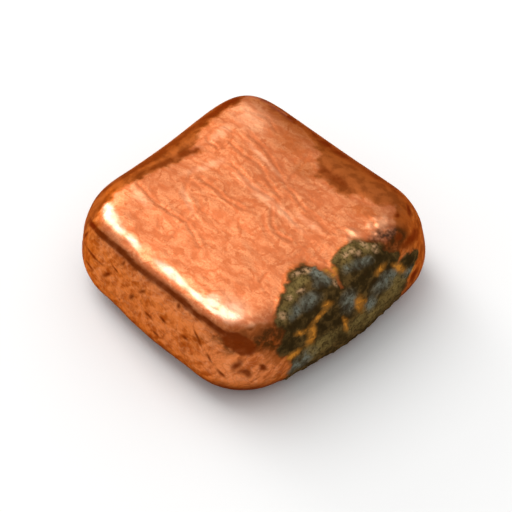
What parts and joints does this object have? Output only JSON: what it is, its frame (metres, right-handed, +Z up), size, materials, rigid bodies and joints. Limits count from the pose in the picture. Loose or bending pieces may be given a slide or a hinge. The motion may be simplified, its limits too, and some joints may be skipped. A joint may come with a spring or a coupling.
{
  "type": "copper ingot",
  "caption": "Hand-poured copper ingot: a thick square pillow with rounded corners, leaning sides, a soft shoulder round the top and a flat underside, crusted with oxide along one side.",
  "frame": {"origin": "on the underside's plane, under the middle of the ingot's box", "axes": "+Z up through the thickness; -Y is the plain front side and +X the side with the oxide crust"},
  "size_m": [0.0554, 0.055, 0.0206],
  "materials": {
    "copper": "cast copper, rubbed bright on the top, oxidised on the sides"
  },
  "bodies": {
    "root": {"ingot": "copper"}
  },
  "joints": []
}
